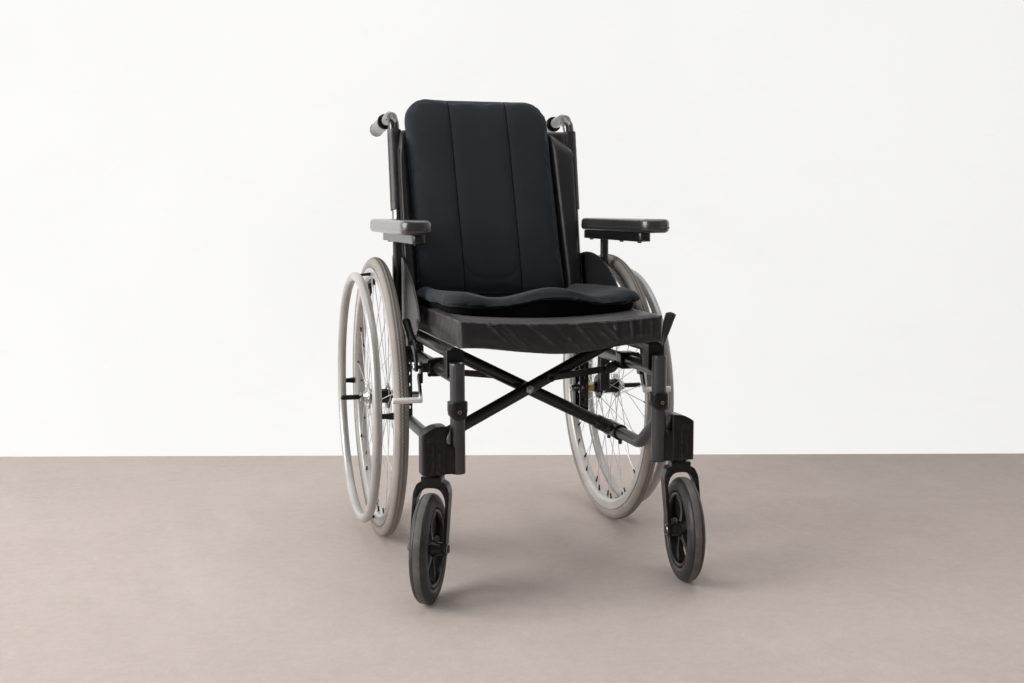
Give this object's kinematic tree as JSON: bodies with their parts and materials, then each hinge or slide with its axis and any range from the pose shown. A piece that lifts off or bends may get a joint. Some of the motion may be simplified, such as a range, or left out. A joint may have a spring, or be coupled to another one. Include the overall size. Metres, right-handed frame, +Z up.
{
  "type": "wheelchair",
  "caption": "Folding self-propelled wheelchair with crossed brace, spoked rear wheels with hand rims, swivel casters, lifting armrests, wheel locks and cushioned seat and back.",
  "frame": {"origin": "on the floor under the middle of the footprint", "axes": "+Z up, the chair faces -Y, the sitter's left is +X"},
  "size_m": [0.6984, 0.9582, 0.9569],
  "materials": {
    "grey_tube": "satin dark grey paint",
    "black_tube": "satin black paint",
    "black_plastic": "moulded, slightly glossy",
    "grip_rubber": "smooth moulded grip",
    "bright_steel": "satin bright",
    "brass": "turned",
    "rim_alloy": "pale silver anodised",
    "tyre_grey": "grey with fine tread",
    "caster_tyre": "solid, dark grey",
    "shoe_alloy": "pale, knurled",
    "guard_plastic": "smooth sheet",
    "stretch_cloth": "fine knitted cover",
    "nylon_cloth": "woven, slightly shiny",
    "pad_vinyl": "smooth padded skin"
  },
  "bodies": {
    "frame_right": {"front_tube_right": "grey_tube", "lower_side_tube_right": "grey_tube", "upper_side_tube_right": "grey_tube", "back_post_right": "bright_steel", "push_grip_right": "grip_rubber", "footrest_collar_right": "black_plastic", "caster_housing_right": "black_plastic", "rail_saddle_right": "black_plastic", "axle_plate_right": "black_tube", "rear_axle_right": "brass", "skirt_guard_right": "guard_plastic", "armrest_receiver_right": "black_tube", "lock_bracket_right": "black_plastic", "back_sling": "nylon_cloth", "back_cushion": "stretch_cloth"},
    "frame_left": {"front_tube_left": "grey_tube", "lower_side_tube_left": "grey_tube", "upper_side_tube_left": "grey_tube", "back_post_left": "bright_steel", "push_grip_left": "grip_rubber", "footrest_collar_left": "black_plastic", "caster_housing_left": "black_plastic", "rail_saddle_left": "black_plastic", "axle_plate_left": "black_tube", "rear_axle_left": "brass", "skirt_guard_left": "guard_plastic", "armrest_receiver_left": "black_tube", "lock_bracket_left": "black_plastic"},
    "brace_front": {"cross_brace_front": "black_tube", "pivot_bolt": "bright_steel"},
    "brace_rear": {"cross_brace_rear": "black_tube"},
    "seat": {"seat_sling": "nylon_cloth", "seat_cushion": "nylon_cloth", "seat_pad": "stretch_cloth"},
    "link_right": {"fold_link_right": "black_tube"},
    "armrest_right": {"armrest_frame_right": "black_tube", "armrest_pad_right": "pad_vinyl"},
    "wheel_right": {"rear_tyre_right": "tyre_grey", "rear_rim_right": "rim_alloy", "rear_hub_right": "bright_steel", "handrim_right": "rim_alloy"},
    "plunger_right": {"release_plunger_right": "black_plastic"},
    "caster_fork_right": {"caster_fork_right": "black_plastic"},
    "caster_wheel_right": {"caster_tyre_right": "caster_tyre", "caster_rim_right": "black_plastic"},
    "lever_right": {"lock_lever_right": "black_plastic"},
    "shoe_right": {"lock_shoe_right": "shoe_alloy"},
    "link_left": {"fold_link_left": "black_tube"},
    "armrest_left": {"armrest_frame_left": "black_tube", "armrest_pad_left": "pad_vinyl"},
    "wheel_left": {"rear_tyre_left": "tyre_grey", "rear_rim_left": "rim_alloy", "rear_hub_left": "bright_steel", "handrim_left": "rim_alloy"},
    "plunger_left": {"release_plunger_left": "black_plastic"},
    "caster_fork_left": {"caster_fork_left": "black_plastic"},
    "caster_wheel_left": {"caster_tyre_left": "caster_tyre", "caster_rim_left": "black_plastic"},
    "lever_left": {"lock_lever_left": "black_plastic"},
    "shoe_left": {"lock_shoe_left": "shoe_alloy"}
  },
  "joints": [
    {"name": "fold", "type": "hinge", "parent": "frame_right", "child": "brace_front", "pos_m": [-0.198, -0.1295, 0.248], "axis": [0, -1, 0], "range_deg": [0, 45.8], "deforming": ["seat_sling", "seat_cushion", "seat_pad", "back_sling", "back_cushion"]},
    {"name": "brace_scissor", "type": "hinge", "parent": "brace_front", "child": "brace_rear", "pos_m": [0, -0.116, 0.348], "axis": [0, -1, 0], "range_deg": [-92.6, 0]},
    {"name": "left_foot", "type": "hinge", "parent": "brace_rear", "child": "frame_left", "pos_m": [0.198, -0.1025, 0.248], "axis": [0, -1, 0], "range_deg": [0, 46.8]},
    {"name": "seat_level", "type": "hinge", "parent": "brace_rear", "child": "seat", "pos_m": [-0.198, -0.1025, 0.448], "axis": [0, -1, 0], "range_deg": [0, 46.8]},
    {"name": "link_turn_right", "type": "hinge", "parent": "frame_right", "child": "link_right", "pos_m": [-0.168, -0.0882, 0.385], "axis": [0, -1, 0], "range_deg": [0, 87.7]},
    {"name": "armrest_lift_right", "type": "slide", "parent": "frame_right", "child": "armrest_right", "axis": [0, 0, 1], "range_m": [0, 0.08]},
    {"name": "wheel_spin_right", "type": "hinge", "parent": "frame_right", "child": "wheel_right", "pos_m": [-0.267, 0.134, 0.305], "axis": [1, 0, 0], "continuous": true},
    {"name": "axle_release_right", "type": "slide", "parent": "frame_right", "child": "plunger_right", "axis": [1, 0, 0], "range_m": [0, 0.003], "stiffness_N_per_m": 600, "springref_m": -0.002},
    {"name": "caster_swivel_right", "type": "hinge", "parent": "frame_right", "child": "caster_fork_right", "pos_m": [-0.244, -0.341, 0.26], "axis": [0, 0, 1], "continuous": true},
    {"name": "caster_spin_right", "type": "hinge", "parent": "caster_fork_right", "child": "caster_wheel_right", "pos_m": [-0.25997, -0.37548, 0.1], "axis": [0.9074, -0.4202, 0], "continuous": true},
    {"name": "lock_turn_right", "type": "hinge", "parent": "frame_right", "child": "lever_right", "pos_m": [-0.2381, -0.164, 0.405], "axis": [1, 0, 0], "range_deg": [0, 60]},
    {"name": "shoe_turn_right", "type": "hinge", "parent": "frame_right", "child": "shoe_right", "pos_m": [-0.2333, -0.162, 0.384], "axis": [1, 0, 0], "range_deg": [0, 10.1]},
    {"name": "link_turn_left", "type": "hinge", "parent": "frame_left", "child": "link_left", "pos_m": [0.168, -0.1438, 0.385], "axis": [0, 1, 0], "range_deg": [0, 87.7]},
    {"name": "armrest_lift_left", "type": "slide", "parent": "frame_left", "child": "armrest_left", "axis": [0, 0, 1], "range_m": [0, 0.08]},
    {"name": "wheel_spin_left", "type": "hinge", "parent": "frame_left", "child": "wheel_left", "pos_m": [0.267, 0.134, 0.305], "axis": [1, 0, 0], "continuous": true},
    {"name": "axle_release_left", "type": "slide", "parent": "frame_left", "child": "plunger_left", "axis": [-1, 0, 0], "range_m": [0, 0.003], "stiffness_N_per_m": 600, "springref_m": -0.002},
    {"name": "caster_swivel_left", "type": "hinge", "parent": "frame_left", "child": "caster_fork_left", "pos_m": [0.244, -0.341, 0.26], "axis": [0, 0, 1], "continuous": true},
    {"name": "caster_spin_left", "type": "hinge", "parent": "caster_fork_left", "child": "caster_wheel_left", "pos_m": [0.23941, -0.37872, 0.1], "axis": [0.9927, -0.1208, 0], "continuous": true},
    {"name": "lock_turn_left", "type": "hinge", "parent": "frame_left", "child": "lever_left", "pos_m": [0.2381, -0.164, 0.405], "axis": [1, 0, 0], "range_deg": [0, 60]},
    {"name": "shoe_turn_left", "type": "hinge", "parent": "frame_left", "child": "shoe_left", "pos_m": [0.2333, -0.162, 0.384], "axis": [1, 0, 0], "range_deg": [0, 10.1]}
  ],
  "couplings": [
    {"joint": "brace_scissor", "follows": "fold", "ratio": -2},
    {"joint": "left_foot", "follows": "fold", "ratio": 1},
    {"joint": "seat_level", "follows": "fold", "ratio": 1},
    {"joint": "link_turn_right", "follows": "fold", "ratio": 1.8935},
    {"joint": "shoe_turn_right", "follows": "lock_turn_right", "ratio": 0.16083},
    {"joint": "link_turn_left", "follows": "fold", "ratio": 1.8935},
    {"joint": "shoe_turn_left", "follows": "lock_turn_left", "ratio": 0.16083}
  ]
}
